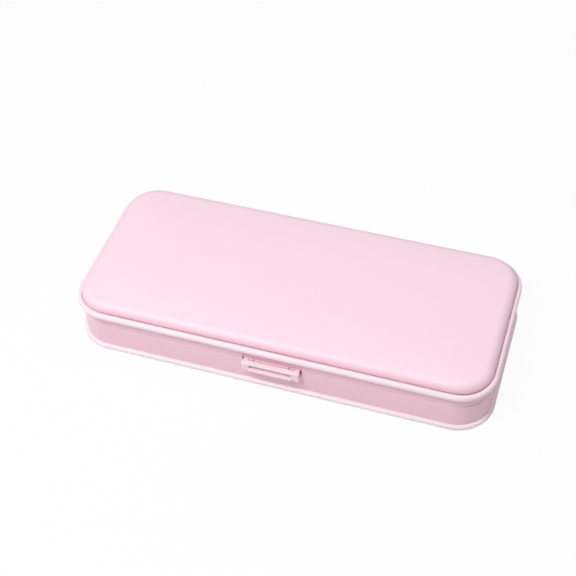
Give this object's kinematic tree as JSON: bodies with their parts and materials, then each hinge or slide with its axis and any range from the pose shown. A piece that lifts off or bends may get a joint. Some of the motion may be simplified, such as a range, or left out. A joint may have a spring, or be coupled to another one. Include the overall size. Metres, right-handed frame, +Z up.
{
  "type": "pencil case",
  "caption": "Flat oblong pencil case with a padded lid hinged at the back, a front clasp flap and a divided tray inside.",
  "frame": {"origin": "on the resting face, under the middle of the case's outline", "axes": "+X along the length, to the right seen from the clasp side; -Y towards the clasp; +Z up through the lid"},
  "size_m": [0.205, 0.0942, 0.03],
  "materials": {
    "case_plastic": "satin injection-moulded pink plastic",
    "clasp_plastic": "satin injection-moulded pink plastic",
    "tray_plastic": "fine matt moulded pale pink plastic",
    "pad_film": "soft satin vinyl film",
    "base_film": "matt vinyl film",
    "lining_film": "matt lining sheet",
    "pad_board": "grey board",
    "pad_foam": "open-cell foam",
    "pin_steel": "drawn wire"
  },
  "bodies": {
    "case": {"base_plate": "case_plastic", "base_sheet": "base_film", "case_walls": "case_plastic", "inner_tray": "tray_plastic", "bay_divider": "tray_plastic", "pencil_rest_left": "tray_plastic", "pencil_rest_right": "tray_plastic", "hinge_pin_left": "pin_steel", "hinge_pin_right": "pin_steel"},
    "lid": {"lid_frame": "case_plastic", "lid_lining": "lining_film", "pad_board": "pad_board", "pad_foam": "pad_foam", "pad_cover": "pad_film"},
    "clasp": {"clasp_flap": "clasp_plastic", "clasp_pin_left": "pin_steel", "clasp_pin_right": "pin_steel"}
  },
  "joints": [
    {"name": "lid_hinge", "type": "hinge", "parent": "case", "child": "lid", "pos_m": [0, 0.0455, 0.01595], "axis": [-1, 0, 0], "range_deg": [0, 180]},
    {"name": "clasp_hinge", "type": "hinge", "parent": "lid", "child": "clasp", "pos_m": [0, -0.0421, 0.0151], "axis": [-1, 0, 0], "range_deg": [0, 45]}
  ]
}
